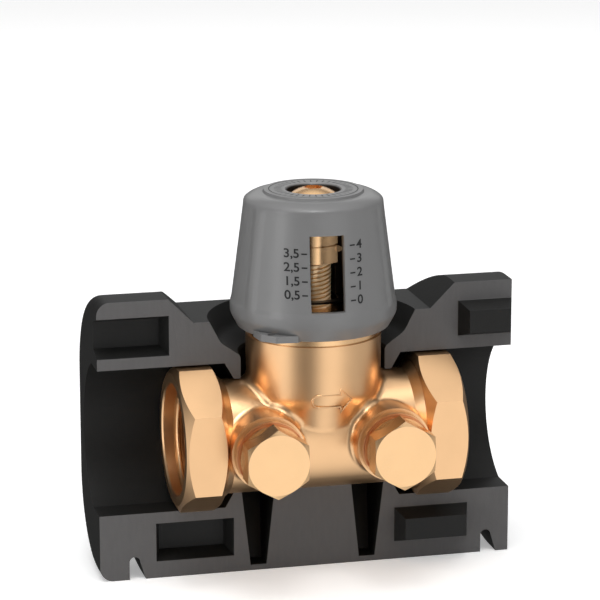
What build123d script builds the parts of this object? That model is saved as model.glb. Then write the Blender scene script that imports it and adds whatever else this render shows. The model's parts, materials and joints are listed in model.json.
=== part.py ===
from build123d import *
import os
from math import radians, sqrt, tan

# Regulating shutoff valve for a G 1 pipe, with the rear half of its insulation shell. Millimetres.
# +X is the flow, +Z runs up the stem and +Y is the insulated back. Every piece is drawn about the
# point where the pipe axis meets the stem axis, and is moved at the end so that the origin is the
# middle of the inlet mouth.

# Valve body
face_to_face = 85.0
barrel_r = 17.0
pipe_end_af = 41.0
pipe_end_length = 12.5
pipe_end_trim_z = 21.6
pipe_end_rim_r = 19.6
shoulder_r = 19.0
shoulder_length = 2.5
pipe_thread_r = 16.62
pipe_thread_depth = 13.0
pipe_mouth_chamfer = 0.45
thread_runout = 3.0
waterway_r = 12.0
neck_round = 2.5
boss_round = 2.0
neck_r = 20.0
neck_top = 30.4
neck_waist_inset = 1.2
neck_waist_z = 3.0
neck_straight_from = 13.0
neck_thread_r = 16.5
neck_thread_depth = 10.4

# Seat and chambers inside the body
seat_bore_r = 9.5
seat_top = 1.95
seat_lip_height = 0.5
seat_lip_width = 1.4
seat_web = 3.55
chamber_r = 14.0
bridge_wall = 3.0
under_seat_reach = 10.0

# Pressure bosses and their plugs
boss_to_pipe_end = 11.2
boss_z = 0.5
boss_r = 11.0
boss_shoulder_y = -22.4
boss_face_r = 10.3
boss_face_y = -25.3
boss_thread_r = 6.58
boss_thread_depth = 10.0
pressure_bore_r = 2.5
plug_clearance = 0.1
plug_seal_r = 10.0
plug_seal_thickness = 1.0
plug_collar_r = 9.6
plug_collar_thickness = 1.5
plug_head_af = 18.0
plug_head_length = 7.2
plug_shank_length = 9.0

# Headwork that closes the neck
headwork_clearance = 0.2
headwork_flange_r = 19.3
headwork_flange_height = 4.1
headwork_boss_r = 13.0
stem_nut_height = 3.5
skirt_r = 13.5
skirt_bottom = 14.6
skirt_step = 0.5
plunger_bore_r = 11.0
plunger_top_clearance = 0.4
neck_seal_wire_r = 1.1
neck_seal_drop = 1.3
snap_ring_thickness = 1.0
snap_ring_r = 13.9
snap_ring_seat_r = 12.0
snap_ring_gap = 5.0

# Plunger with its seat disc, drawn at 2.75 turns open
turns_open = 2.75
turns_full = 4.0
lead = 3.8
closing_gap = 0.05
plunger_clearance = 0.2
plunger_height = 17.3
plunger_seal_wire_r = 0.75
plunger_seal_stretch = 0.05
plunger_lower_seal_z = 13.9
plunger_upper_seal_z = 16.0
disc_r = 10.3
disc_thickness = 2.5
disc_hub_r = 5.0
disc_fit = 0.05
washer_r = 7.5
washer_thickness = 1.0
disc_screw_head_r = 4.2
disc_screw_head_height = 2.6
disc_screw_r = 2.5
disc_screw_length = 7.0
disc_screw_slot = 1.1

# Stem: foot held in the plunger, thread in the headwork, indicator ring and driving head on top
stem_pocket_r = 7.0
stem_pocket_depth = 6.2
stem_foot_r = 6.7
stem_foot_height = 3.2
stem_play = 0.1
stem_neck_r = 4.8
circlip_thickness = 1.0
circlip_groove = 0.8
circlip_inner_r = 5.2
circlip_mouth = 5.0
stem_thread_r = 5.2
stem_thread_clearance = 0.15
stem_thread_length = 22.25
stem_spigot_r = 3.5
spigot_fit = 0.05
ring_height = 5.0
driver_r = 7.9
driver_flat = 6.35
driver_height = 5.8
driver_groove = 0.6
pointer_tip_x = 8.3
pointer_height = 2.0
pointer_front_y = -5.2
pointer_back_y = -3.6

# Knob, turned a little from facing straight ahead
knob_angle = -3.4
knob_clearance = 0.3
knob_rim_depth = 2.2
knob_rim_r = 22.2
knob_skirt_r = 24.0
knob_skirt_low_rise = 3.2
knob_skirt_height = 5.1
knob_shoulder_r = 20.0
knob_shoulder_drop = 1.1
knob_shoulder_round = 4.2
knob_edge_r = 14.9
knob_edge_drop = 0.7
knob_roof_thickness = 5.1
plateau_r = 14.5
knob_rim_round = 1.0
knob_skirt_low_round = 3.0
knob_skirt_high_round = 10.0
knob_wall = 2.3
knob_web_clearance = 0.4
knob_web_thickness = 1.5
stem_top_clearance = 0.45
knob_tube_r = 10.5
knob_tube_clearance = 2.5
grip_count = 3
grip_depth = 0.9
grip_offset = 3.84
grip_rise = 4.0
grip_drop = 7.2
grip_runout = 5.0
grip_overrun = 0.8
grip_round = 12.0
window_width = 9.7
window_sill = 0.6
window_height = 22.2
window_front_cut_y = 0.0
crown_hole_r = 7.85
crown_hole_chamfer = 0.5
seal_ear_angle = -40.0
seal_ear_root_width = 15.0
seal_ear_tip_width = 5.4
seal_ear_reach = 26.2
seal_ear_rise = 0.1
seal_ear_thickness = 2.0
seal_ear_hole_r = 1.2
seal_ear_hole_reach = 24.6
seal_ear_round = 1.2

# Memory screw and its threaded bush in the crown of the knob
bush_ledge_r = 6.5
bush_ledge = 0.7
bush_r = 7.4
bush_fit = 0.05
bush_height = 2.2
memory_screw_r = 4.0
memory_screw_clearance = 0.15
memory_screw_reach = 3.0
memory_head_r = 6.4
memory_head_edge = 1.0
memory_head_height = 2.9
memory_socket_af = 5.0
memory_socket_depth = 1.6

# Insulation shell, rear half
shell_past_inlet = 22.3
shell_past_outlet = 18.8
shell_half_height = 42.5
shell_depth = 34.0
shell_corner_r = 27.0
shell_end_round = 4.0
saddle_drop = 7.5
saddle_half_width = 36.0
bowl_r = 31.3
bowl_turn_r = 28.0
bowl_turn_drop = 6.5
bowl_round = 5.0
bowl_lip_r = 22.4
bowl_lip_drop = 10.5
bowl_lip_height = 1.0
neck_hole_clearance = 2.0
port_cavity_clearance = 0.6
barrel_cavity_clearance = 0.3
port_cavity_lead = 2.0
port_cavity_cone = 4.0
slot_top_near = 11.4
slot_top_far = 22.3
slot_low_near = 14.3
slot_low_far = 19.2
slot_top_z = -14.0
slot_floor = 1.7
slot_depth_top = 22.0
slot_depth_low = 7.0
channel_width = 3.2
channel_flare = 2.4
channel_depth = 7.0
left_channel_inset = 10.4
right_channel_inset = 7.1
key_depth = 6.0
key_draft = 2.0
key_upper_insets = (16.4, 5.5)
key_lower_insets = (5.6, 16.3)
key_clearance = 0.6
left_upper_key_inset = 20.9
left_lower_key_insets = (17.5, 40.0)
right_upper_key_inset = 16.8
right_lower_key_insets = (36.1, 13.1)

# Sizes that follow from the ones above
half_length = face_to_face / 2
pipe_end_x = half_length - pipe_end_length
boss_x = pipe_end_x - boss_to_pipe_end
neck_waist_r = barrel_r - neck_waist_inset
web_under = seat_top - seat_web
neck_thread_floor = neck_top - neck_thread_depth
neck_seal_z = neck_top - neck_seal_drop
headwork_flange_top = neck_top + headwork_flange_height
pipe_end_corner_r = pipe_end_af / sqrt(3)
thread_end_x = half_length - pipe_thread_depth
chamfer_slope = tan(radians(30))
open_travel = turns_open * lead
travel_left = (turns_full - turns_open) * lead
plunger_bottom = seat_top + closing_gap + open_travel
plunger_top = plunger_bottom + plunger_height
plunger_r = plunger_bore_r - plunger_clearance
plunger_bore_top = plunger_top + travel_left + plunger_top_clearance
headwork_top = plunger_bore_top + stem_nut_height
foot_bottom = plunger_top - stem_pocket_depth + stem_play
foot_top = foot_bottom + stem_foot_height
circlip_bottom = foot_top + stem_play
thread_bottom = plunger_top + 2 * stem_play
thread_top = thread_bottom + stem_thread_length
ring_top = thread_top + ring_height
stem_top = ring_top + driver_height
pointer_z = ring_top - pointer_height / 2
knob_web_under = headwork_flange_top + knob_web_clearance
knob_web_top = knob_web_under + knob_web_thickness
snap_ring_z = knob_web_top + knob_clearance + snap_ring_thickness / 2
knob_bottom = knob_web_under - knob_rim_depth
knob_skirt_low = knob_bottom + knob_skirt_low_rise
knob_skirt_high = knob_skirt_low + knob_skirt_height
knob_roof_under = stem_top + travel_left + stem_top_clearance
knob_top = knob_roof_under + knob_roof_thickness
knob_shoulder_z = knob_top - knob_shoulder_drop
knob_edge_z = knob_top - knob_edge_drop
knob_tube_low = headwork_top + knob_tube_clearance
grip_low = knob_skirt_high + grip_rise
grip_high = knob_shoulder_z - grip_drop
window_low = knob_tube_low + window_sill
window_high = window_low + window_height
seal_ear_low = knob_bottom + seal_ear_rise
seal_ear_high = seal_ear_low + seal_ear_thickness
bush_bottom = knob_roof_under + bush_ledge
bush_top = bush_bottom + bush_height
memory_head_z = bush_top + stem_play
shell_left = -half_length - shell_past_inlet
shell_right = half_length + shell_past_outlet
port_cavity_from = pipe_end_x - port_cavity_lead
barrel_cavity_to = port_cavity_from - port_cavity_cone
saddle_z = shell_half_height - saddle_drop
bowl_turn_z = saddle_z - bowl_turn_drop
bowl_lip_z = saddle_z - bowl_lip_drop
slot_low_z = slot_floor - shell_half_height
channel_top_z = channel_depth - shell_half_height
left_channel_x = shell_left + left_channel_inset
right_channel_x = shell_right - right_channel_inset
key_upper = tuple(shell_half_height - inset for inset in key_upper_insets)
key_lower = tuple(inset - shell_half_height for inset in key_lower_insets)
left_upper_key_x = shell_left + left_upper_key_inset
left_lower_key_x = tuple(shell_left + inset for inset in left_lower_key_insets)
right_upper_key_x = shell_right - right_upper_key_inset
right_lower_key_x = tuple(shell_right - inset for inset in right_lower_key_insets)
long = 4 * face_to_face
ON_BASE = (Align.CENTER, Align.CENTER, Align.MIN)


def upright(radius, low, high, x=0.0, y=0.0):
    """A cylinder along the stem axis between two heights."""
    return Pos(x, y, low) * Cylinder(radius, high - low, align=ON_BASE)


def along_flow(radius, start, end):
    """A cylinder along the pipe axis."""
    return Pos(start, 0, 0) * Rot(0, 90, 0) * Cylinder(radius, end - start, align=ON_BASE)


def to_front(radius, back, front, x, z=boss_z):
    """A cylinder that runs forwards, along -Y."""
    return Pos(x, back, z) * Rot(90, 0, 0) * Cylinder(radius, back - front, align=ON_BASE)


def turned(points, rounds=None):
    """A solid turned about the stem axis from its (radius, height) outline, with some corners rounded."""
    outline = make_face(Polyline(*points, close=True))
    for corner, radius in (rounds or {}).items():
        r, z = points[corner]
        outline = fillet(outline.vertices().sort_by_distance((r, z, 0))[0], radius)
    return revolve(Plane.XZ * outline, Axis.Z)


def o_ring(wire_r, inner_r, z):
    return Pos(0, 0, z) * Torus(inner_r + wire_r, wire_r)


def seal_groove(wire_r, inner_r, outer_r, z):
    """What is cut from a shaft so that an O-ring of this wire sits round it."""
    half = wire_r + plunger_seal_stretch
    return upright(outer_r, z - half, z + half) - upright(inner_r, z - half, z + half)


def block(x_range, y_range, z_range):
    """A box from its lowest and highest X, Y and Z."""
    low = (x_range[0], y_range[0], z_range[0])
    size = (x_range[1] - x_range[0], y_range[1] - y_range[0], z_range[1] - z_range[0])
    return Pos(*low) * Box(*size, align=(Align.MIN, Align.MIN, Align.MIN))


def double_flat(radius, flat, low, high):
    """A round bar with two flats that face -X and +X."""
    return upright(radius, low, high) & block((-flat, flat), (-long, long), (low, high))


def pipe_end(turn):
    """One hexagon end of the body, chamfered at both faces and trimmed at its top and bottom corners."""
    flats = Pos(0, 0, pipe_end_x) * extrude(
        RegularPolygon(pipe_end_af / 2, 6, major_radius=False), pipe_end_length
    )
    flats &= block(
        (-pipe_end_trim_z, pipe_end_trim_z), (-long, long), (pipe_end_x, half_length)
    )
    rise = (pipe_end_corner_r - pipe_end_rim_r) * chamfer_slope
    envelope = turned([
        (0, pipe_end_x),
        (pipe_end_rim_r, pipe_end_x),
        (pipe_end_corner_r, pipe_end_x + rise),
        (pipe_end_corner_r, half_length - rise),
        (pipe_end_rim_r, half_length),
        (0, half_length),
    ])
    shoulder = turned([
        (0, pipe_end_x - shoulder_length),
        (barrel_r, pipe_end_x - shoulder_length),
        (shoulder_r, pipe_end_x),
        (0, pipe_end_x),
    ])
    return Rot(0, turn, 0) * ((flats & envelope) + shoulder)


def pipe_mouth(turn):
    """The threaded mouth of one pipe end and its run-out into the waterway."""
    mouth_r = pipe_thread_r + pipe_mouth_chamfer
    return Rot(0, turn, 0) * turned([
        (0, boss_x),
        (waterway_r, boss_x),
        (waterway_r, thread_end_x - thread_runout),
        (pipe_thread_r, thread_end_x),
        (pipe_thread_r, half_length - pipe_mouth_chamfer),
        (mouth_r, half_length),
        (0, half_length),
    ])


def valve_body():
    barrel = along_flow(barrel_r, -half_length, half_length)
    neck = turned(
        [
            (0, 0),
            (neck_waist_r, 0),
            (neck_waist_r, neck_waist_z),
            (neck_r, neck_straight_from),
            (neck_r, neck_top),
            (0, neck_top),
        ],
        {3: neck_r / 2},
    )
    forging = barrel + neck
    forging = fillet(forging.edges().filter_by(GeomType.BSPLINE), neck_round)
    forging += [to_front(boss_r, 0, boss_shoulder_y, x) for x in (-boss_x, boss_x)]
    boss_joints = forging.edges().filter_by(GeomType.BSPLINE).filter_by(
        lambda edge: edge.center().Y < -boss_r / 2 and abs(edge.center().X) < pipe_end_x
    )
    forging = fillet(boss_joints, boss_round)
    forging += [to_front(boss_face_r, 0, boss_face_y, x) for x in (-boss_x, boss_x)]
    forging += pipe_end(90) + pipe_end(-90)

    waterway = along_flow(waterway_r, -thread_end_x, thread_end_x)
    inlet_side = waterway & block((-thread_end_x, -chamber_r - bridge_wall), (-long, long), (-long, long))
    under_seat = waterway & block((-thread_end_x, under_seat_reach), (-long, long), (-long, web_under))
    outlet_side = waterway & block((chamber_r, thread_end_x), (-long, long), (-long, long))
    over_seat = waterway & block((0, thread_end_x), (-long, long), (seat_top - seat_lip_height, long))
    chamber_floor = seat_top - seat_lip_height
    lip = upright(seat_bore_r + seat_lip_width, chamber_floor, seat_top)
    chamber = upright(chamber_r, chamber_floor, neck_thread_floor)
    hollow = inlet_side + under_seat + outlet_side + over_seat + chamber - lip
    hollow += upright(seat_bore_r, web_under, seat_top)
    hollow += upright(neck_thread_r, neck_thread_floor, neck_top)
    hollow += pipe_mouth(90) + pipe_mouth(-90)
    for x in (-boss_x, boss_x):
        hollow += to_front(boss_thread_r, boss_face_y + boss_thread_depth, boss_face_y, x)
        hollow += to_front(pressure_bore_r, 0, boss_face_y, x)
    return forging - hollow


def plug_seal(x):
    back, front = boss_face_y, boss_face_y - plug_seal_thickness
    return to_front(plug_seal_r, back, front, x) - to_front(boss_thread_r, back, front, x)


def plug(x):
    """A hexagon-headed plug that closes one pressure boss."""
    collar_back = boss_face_y - plug_seal_thickness
    head_back = collar_back - plug_collar_thickness
    head_front = head_back - plug_head_length
    corner_r = plug_head_af / sqrt(3)
    hexagon = Rot(0, 0, 90) * RegularPolygon(plug_head_af / 2, 6, major_radius=False)
    rise = (corner_r - plug_head_af / 2) * chamfer_slope
    envelope = turned([
        (0, 0),
        (corner_r, 0),
        (corner_r, plug_head_length - rise),
        (plug_head_af / 2, plug_head_length),
        (0, plug_head_length),
    ])
    head = Pos(x, head_back, boss_z) * Rot(90, 0, 0) * (extrude(hexagon, plug_head_length) & envelope)
    shank_r = boss_thread_r - plug_clearance
    shank = to_front(shank_r, boss_face_y + plug_shank_length, head_back, x)
    return head + to_front(plug_collar_r, collar_back, head_front + plug_head_length, x) + shank


def headwork():
    """The brass insert that closes the neck, guides the plunger and holds the stem thread."""
    thread_r = neck_thread_r - headwork_clearance
    outside = turned([
        (0, skirt_bottom),
        (skirt_r, skirt_bottom),
        (skirt_r, neck_thread_floor + skirt_step),
        (thread_r, neck_thread_floor + skirt_step),
        (thread_r, neck_top),
        (headwork_flange_r, neck_top),
        (headwork_flange_r, headwork_flange_top),
        (headwork_boss_r, headwork_flange_top),
        (headwork_boss_r, headwork_top),
        (0, headwork_top),
    ])
    groove_inner = neck_thread_r - 2 * neck_seal_wire_r
    outside -= seal_groove(neck_seal_wire_r, groove_inner, neck_r, neck_seal_z)
    half_ring = snap_ring_thickness / 2
    outside -= upright(neck_r, snap_ring_z - half_ring, snap_ring_z + half_ring) - upright(
        snap_ring_seat_r, snap_ring_z - half_ring, snap_ring_z + half_ring
    )
    outside -= upright(plunger_bore_r, skirt_bottom, plunger_bore_top)
    return outside - upright(stem_thread_r + stem_thread_clearance, plunger_bore_top, headwork_top)


def headwork_o_ring():
    inner_r = neck_thread_r - 2 * neck_seal_wire_r
    return o_ring(neck_seal_wire_r, inner_r, neck_seal_z)


def knob_snap_ring():
    """The split ring that keeps the knob on the headwork."""
    half = snap_ring_thickness / 2
    low, high = snap_ring_z - half, snap_ring_z + half
    whole = upright(snap_ring_r, low, high) - upright(snap_ring_seat_r, low, high)
    return whole - block((-snap_ring_gap / 2, snap_ring_gap / 2), (0, long), (low, high))


def plunger():
    body = upright(plunger_r, plunger_bottom + disc_thickness, plunger_top)
    body += upright(disc_hub_r, plunger_bottom, plunger_top)
    seal_inner = plunger_bore_r - plunger_seal_stretch - 2 * plunger_seal_wire_r
    for z in (plunger_lower_seal_z, plunger_upper_seal_z):
        body -= seal_groove(plunger_seal_wire_r, seal_inner, plunger_bore_r, plunger_bottom + z)
    body -= upright(stem_pocket_r, plunger_top - stem_pocket_depth, plunger_top)
    body -= upright(
        stem_pocket_r + circlip_groove, circlip_bottom, circlip_bottom + circlip_thickness
    )
    return body - upright(disc_screw_r, plunger_bottom, plunger_bottom + disc_screw_length)


def plunger_o_ring(z):
    inner_r = plunger_bore_r - plunger_seal_stretch - 2 * plunger_seal_wire_r
    return o_ring(plunger_seal_wire_r, inner_r, plunger_bottom + z)


def seat_disc():
    low, high = plunger_bottom, plunger_bottom + disc_thickness
    return upright(disc_r, low, high) - upright(disc_hub_r + disc_fit, low, high)


def disc_washer():
    low, high = plunger_bottom - washer_thickness, plunger_bottom
    return upright(washer_r, low, high) - upright(disc_screw_r + disc_fit, low, high)


def disc_screw():
    under_head = plunger_bottom - washer_thickness
    head_low = under_head - disc_screw_head_height
    shank_r = disc_screw_r - disc_fit
    screw = upright(disc_screw_head_r, head_low, under_head)
    screw += upright(shank_r, under_head, plunger_bottom + disc_screw_length - disc_screw_slot)
    half = disc_screw_slot / 2
    return screw - block((-long, long), (-half, half), (head_low, head_low + disc_screw_slot))


def stem_circlip():
    """The split ring that holds the foot of the stem in the plunger."""
    low, high = circlip_bottom, circlip_bottom + circlip_thickness
    outer_r = stem_pocket_r + circlip_groove - disc_fit
    whole = upright(outer_r, low, high) - upright(circlip_inner_r, low, high)
    return whole - block((-circlip_mouth / 2, circlip_mouth / 2), (0, long), (low, high))


def stem():
    return (
        upright(stem_foot_r, foot_bottom, foot_top)
        + upright(stem_neck_r, foot_top, thread_bottom)
        + upright(stem_thread_r, thread_bottom, thread_top)
        + upright(stem_spigot_r, thread_top, stem_top)
    )


def indicator_ring():
    """The ring under the driving head, with the pointer that reads the scale."""
    ring = double_flat(driver_r, driver_flat, thread_top, ring_top)
    pointer = extrude(
        Plane.XZ
        * make_face(
            Polyline(
                (0, pointer_z - pointer_height / 2),
                (driver_flat, pointer_z - pointer_height / 2),
                (pointer_tip_x, pointer_z),
                (driver_flat, pointer_z + pointer_height / 2),
                (0, pointer_z + pointer_height / 2),
                close=True,
            )
        ),
        pointer_back_y - pointer_front_y,
    )
    ring += Pos(0, pointer_back_y, 0) * pointer
    return ring - upright(stem_spigot_r + spigot_fit, thread_top, ring_top)


def drive_head():
    """The head with two flats that the knob turns."""
    head = double_flat(driver_r, driver_flat, ring_top, stem_top)
    collar_r = driver_r - driver_groove
    groove_top = ring_top + driver_groove
    head -= upright(driver_r, ring_top, groove_top) - upright(collar_r, ring_top, groove_top)
    return head - upright(stem_spigot_r + spigot_fit, ring_top, stem_top)


def grip_trimmer(angle):
    """What stays of the knob behind one of its shallow grip panels."""
    slope = (knob_skirt_r - knob_shoulder_r) / (knob_shoulder_z - knob_skirt_high)
    reach = grip_offset - grip_depth
    low_r = knob_skirt_r - slope * (grip_low - knob_skirt_high) + reach
    high_r = knob_skirt_r - slope * (grip_high - knob_skirt_high) + reach
    runout_rise = grip_depth + grip_overrun
    clear_r = knob_skirt_r + grip_offset + grip_depth
    keeper = turned(
        [
            (0, 0),
            (clear_r, 0),
            (clear_r, grip_low - grip_runout),
            (low_r + runout_rise, grip_low - grip_runout),
            (low_r, grip_low),
            (high_r, grip_high),
            (high_r + runout_rise, grip_high + grip_runout),
            (clear_r, grip_high + grip_runout),
            (clear_r, 2 * knob_top),
            (0, 2 * knob_top),
        ],
        {4: grip_round, 5: grip_round},
    )
    return Rot(0, 0, angle) * Pos(0, grip_offset, 0) * keeper


def seal_ear():
    """The ear at the rim that takes the wire of a lead seal."""
    root, tip = seal_ear_root_width / 2, seal_ear_tip_width / 2
    root_y = -knob_rim_r + knob_wall
    outline = make_face(
        Polyline(
            (-root, root_y), (-root, -knob_rim_r), (-tip, -seal_ear_reach),
            (tip, -seal_ear_reach), (root, -knob_rim_r), (root, root_y),
            close=True,
        )
    )
    outline = fillet(outline.vertices().sort_by(Axis.Y)[:2], seal_ear_round)
    ear = Pos(0, 0, seal_ear_low) * extrude(outline, seal_ear_high - seal_ear_low)
    return Rot(0, 0, seal_ear_angle) * ear


def seal_ear_hole():
    hole = upright(seal_ear_hole_r, 0, seal_ear_high, 0, -seal_ear_hole_reach)
    return Rot(0, 0, seal_ear_angle) * hole


def knob():
    outside = turned(
        [
            (0, knob_bottom),
            (knob_rim_r, knob_bottom),
            (knob_skirt_r, knob_skirt_low),
            (knob_skirt_r, knob_skirt_high),
            (knob_shoulder_r, knob_shoulder_z),
            (knob_edge_r, knob_edge_z),
            (plateau_r, knob_top),
            (0, knob_top),
        ],
        {
            1: knob_rim_round,
            2: knob_skirt_low_round,
            3: knob_skirt_high_round,
            4: knob_shoulder_round,
        },
    )
    for lobe in range(grip_count):
        outside &= grip_trimmer(lobe * 360 / grip_count)
    outside += seal_ear()

    inner_r = knob_skirt_r - knob_wall
    roof_r = knob_shoulder_r - knob_wall
    rim_room_r = knob_rim_r - knob_wall
    outside -= upright(rim_room_r, knob_bottom, knob_web_under)
    outside -= upright(headwork_boss_r + knob_clearance, knob_web_under, knob_web_top)
    room = turned([
        (0, knob_web_top),
        (rim_room_r, knob_web_top),
        (inner_r, knob_skirt_high),
        (roof_r, knob_roof_under),
        (0, knob_roof_under),
    ])
    outside -= room - upright(knob_tube_r, knob_tube_low, knob_roof_under)
    outside -= double_flat(
        driver_r + knob_clearance, driver_flat + knob_clearance, knob_tube_low, knob_roof_under
    )
    outside -= block(
        (-knob_tube_r, knob_tube_r), (-knob_tube_r, window_front_cut_y), (window_low, window_high)
    )
    outside -= block(
        (-window_width / 2, window_width / 2), (-long, -knob_tube_r), (window_low, window_high)
    )
    outside -= upright(bush_ledge_r, knob_roof_under, bush_bottom)
    outside -= upright(bush_r + bush_fit, bush_bottom, bush_top)
    outside -= turned([
        (0, bush_top),
        (crown_hole_r, bush_top),
        (crown_hole_r, knob_top - crown_hole_chamfer),
        (crown_hole_r + crown_hole_chamfer, knob_top),
        (0, knob_top),
    ])
    return outside - seal_ear_hole()


def memory_bush():
    low, high = bush_bottom, bush_top
    return upright(bush_r, low, high) - upright(memory_screw_r + memory_screw_clearance, low, high)


def memory_screw():
    """The domed socket screw that limits how far the valve opens."""
    edge_z = memory_head_z + memory_head_edge
    top_z = memory_head_z + memory_head_height
    dome_height = memory_head_height - memory_head_edge
    dome_r = (memory_head_r**2 + dome_height**2) / (2 * dome_height)
    head = upright(memory_head_r, memory_head_z, top_z) & (Pos(0, 0, top_z - dome_r) * Sphere(dome_r))
    head += upright(memory_head_r, memory_head_z, edge_z)
    head += upright(memory_screw_r, memory_head_z - memory_screw_reach, memory_head_z)
    socket = extrude(RegularPolygon(memory_socket_af / 2, 6, major_radius=False), memory_head_height)
    return head - Pos(0, 0, top_z - memory_socket_depth) * socket


def joint_key(x_range, z_range, end_y, grow=0.0):
    """A drafted key or socket of the shell joint, wide at the joint face and narrow at its far end."""
    width = x_range[1] - x_range[0] + 2 * grow
    height = z_range[1] - z_range[0] + 2 * grow
    middle = Pos(sum(x_range) / 2, 0, sum(z_range) / 2)
    wide = middle * (Plane.XZ * Rectangle(width, height))
    narrow = Plane.XZ * Rectangle(width - 2 * key_draft, height - 2 * key_draft)
    return loft([wide.face(), (middle * Pos(0, end_y, 0) * narrow).face()])


def bottom_channel(x):
    """A rounded channel along the underside, with one flared wall."""
    half = channel_width / 2
    round_z = channel_top_z - half
    below_z = -shell_half_height - channel_flare
    walls = make_face(
        Polyline(
            (x - half, below_z),
            (x - half, round_z),
            (x + half, round_z),
            (x + half + channel_flare, below_z),
            close=True,
        )
    )
    slot = Pos(0, long, 0) * extrude(Plane.XZ * walls, 2 * long)
    top = Pos(x, long, round_z) * Rot(90, 0, 0) * Cylinder(half, 2 * long, align=ON_BASE)
    return slot + top


def insulation_shell():
    """The moulded rear half of the insulation, with its saddle, pipe path, keys and sockets."""
    depth = shell_depth
    section = make_face(
        Polyline(
            (0, -shell_half_height),
            (depth, -shell_half_height),
            (depth, shell_half_height),
            (0, shell_half_height),
            close=True,
        )
    )
    back_corners = section.vertices().sort_by(Axis.X)[2:]
    section = fillet(back_corners, shell_corner_r)
    foam = Pos(shell_left, 0, 0) * extrude(Plane.YZ * section, shell_right - shell_left)
    end_face = foam.faces().sort_by(Axis.X)[0]
    foam = fillet(end_face.edges().sort_by(Axis.Y)[1:], shell_end_round)

    clear_x = saddle_half_width + 2 * saddle_drop
    clear_z = saddle_z + 2 * saddle_drop
    saddle = make_face(
        Polyline(
            (-saddle_half_width, saddle_z),
            (saddle_half_width, saddle_z),
            (clear_x, clear_z),
            (-clear_x, clear_z),
            close=True,
        )
    )
    foam -= Pos(0, long / 2, 0) * extrude(Plane.XZ * saddle, long)
    neck_hole_r = neck_r + neck_hole_clearance
    foam -= turned(
        [
            (0, 0),
            (neck_hole_r, 0),
            (neck_hole_r, bowl_lip_z - bowl_lip_height),
            (bowl_lip_r, bowl_lip_z),
            (bowl_turn_r, bowl_turn_z),
            (bowl_r, saddle_z),
            (bowl_r, shell_half_height),
            (0, shell_half_height),
        ],
        {4: bowl_round},
    )
    port_r = pipe_end_corner_r + port_cavity_clearance
    port_half = pipe_end_trim_z + port_cavity_clearance
    barrel_cavity_r = barrel_r + barrel_cavity_clearance
    pipe_path = along_flow(barrel_cavity_r, -port_cavity_from, port_cavity_from)
    for turn in (90, -90):
        cone = turned([
            (0, 0),
            (barrel_cavity_r, barrel_cavity_to),
            (port_r, port_cavity_from),
            (port_r, long),
            (0, long),
        ])
        pipe_path += Rot(0, turn, 0) * cone
    foam -= pipe_path & block((-long, long), (-long, long), (-port_half, port_half))
    slot_side = make_face(
        Polyline(
            (0, slot_top_z),
            (slot_depth_top, slot_top_z),
            (slot_depth_low, slot_low_z),
            (0, slot_low_z),
            close=True,
        )
    )
    slot_room = Pos(-slot_top_far, 0, 0) * extrude(Plane.YZ * slot_side, 2 * slot_top_far)
    for side in (-1, 1):
        slot = make_face(
            Polyline(
                (side * slot_top_near, slot_top_z),
                (side * slot_low_near, slot_low_z),
                (side * slot_low_far, slot_low_z),
                (side * slot_top_far, slot_top_z),
                close=True,
            )
        )
        foam -= slot_room & (Pos(0, slot_depth_top, 0) * extrude(Plane.XZ * slot, slot_depth_top))
    foam -= bottom_channel(left_channel_x)
    foam -= bottom_channel(right_channel_x)
    beyond_end = 2 * key_draft + shell_end_round
    foam -= joint_key((shell_left - beyond_end, left_upper_key_x), key_upper, key_depth, key_clearance)
    foam -= joint_key(left_lower_key_x, key_lower, key_depth, key_clearance)
    foam += joint_key((right_upper_key_x, shell_right), key_upper, -key_depth)
    return foam + joint_key(right_lower_key_x, key_lower, -key_depth)


pieces = {
    "valve_body": valve_body(),
    "insulation_shell": insulation_shell(),
    "headwork": headwork(),
    "headwork_o_ring": headwork_o_ring(),
    "inlet_plug": plug(-boss_x),
    "inlet_plug_seal": plug_seal(-boss_x),
    "outlet_plug": plug(boss_x),
    "outlet_plug_seal": plug_seal(boss_x),
    "knob_snap_ring": knob_snap_ring(),
    "plunger": plunger(),
    "plunger_o_ring_lower": plunger_o_ring(plunger_lower_seal_z),
    "plunger_o_ring_upper": plunger_o_ring(plunger_upper_seal_z),
    "seat_disc": seat_disc(),
    "disc_washer": disc_washer(),
    "disc_screw": disc_screw(),
    "stem_circlip": stem_circlip(),
    "stem": stem(),
    "indicator_ring": Rot(0, 0, knob_angle) * indicator_ring(),
    "drive_head": Rot(0, 0, knob_angle) * drive_head(),
    "knob": Rot(0, 0, knob_angle) * knob(),
    "memory_bush": memory_bush(),
    "memory_screw": memory_screw(),
}

os.makedirs("parts", exist_ok=True)
for name, piece in pieces.items():
    export_step(Pos(half_length, 0, 0) * piece, f"parts/{name}.step")
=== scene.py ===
import json
import math

import bmesh
import bpy
from mathutils import Matrix, Vector
from mathutils.bvhtree import BVHTree


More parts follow.
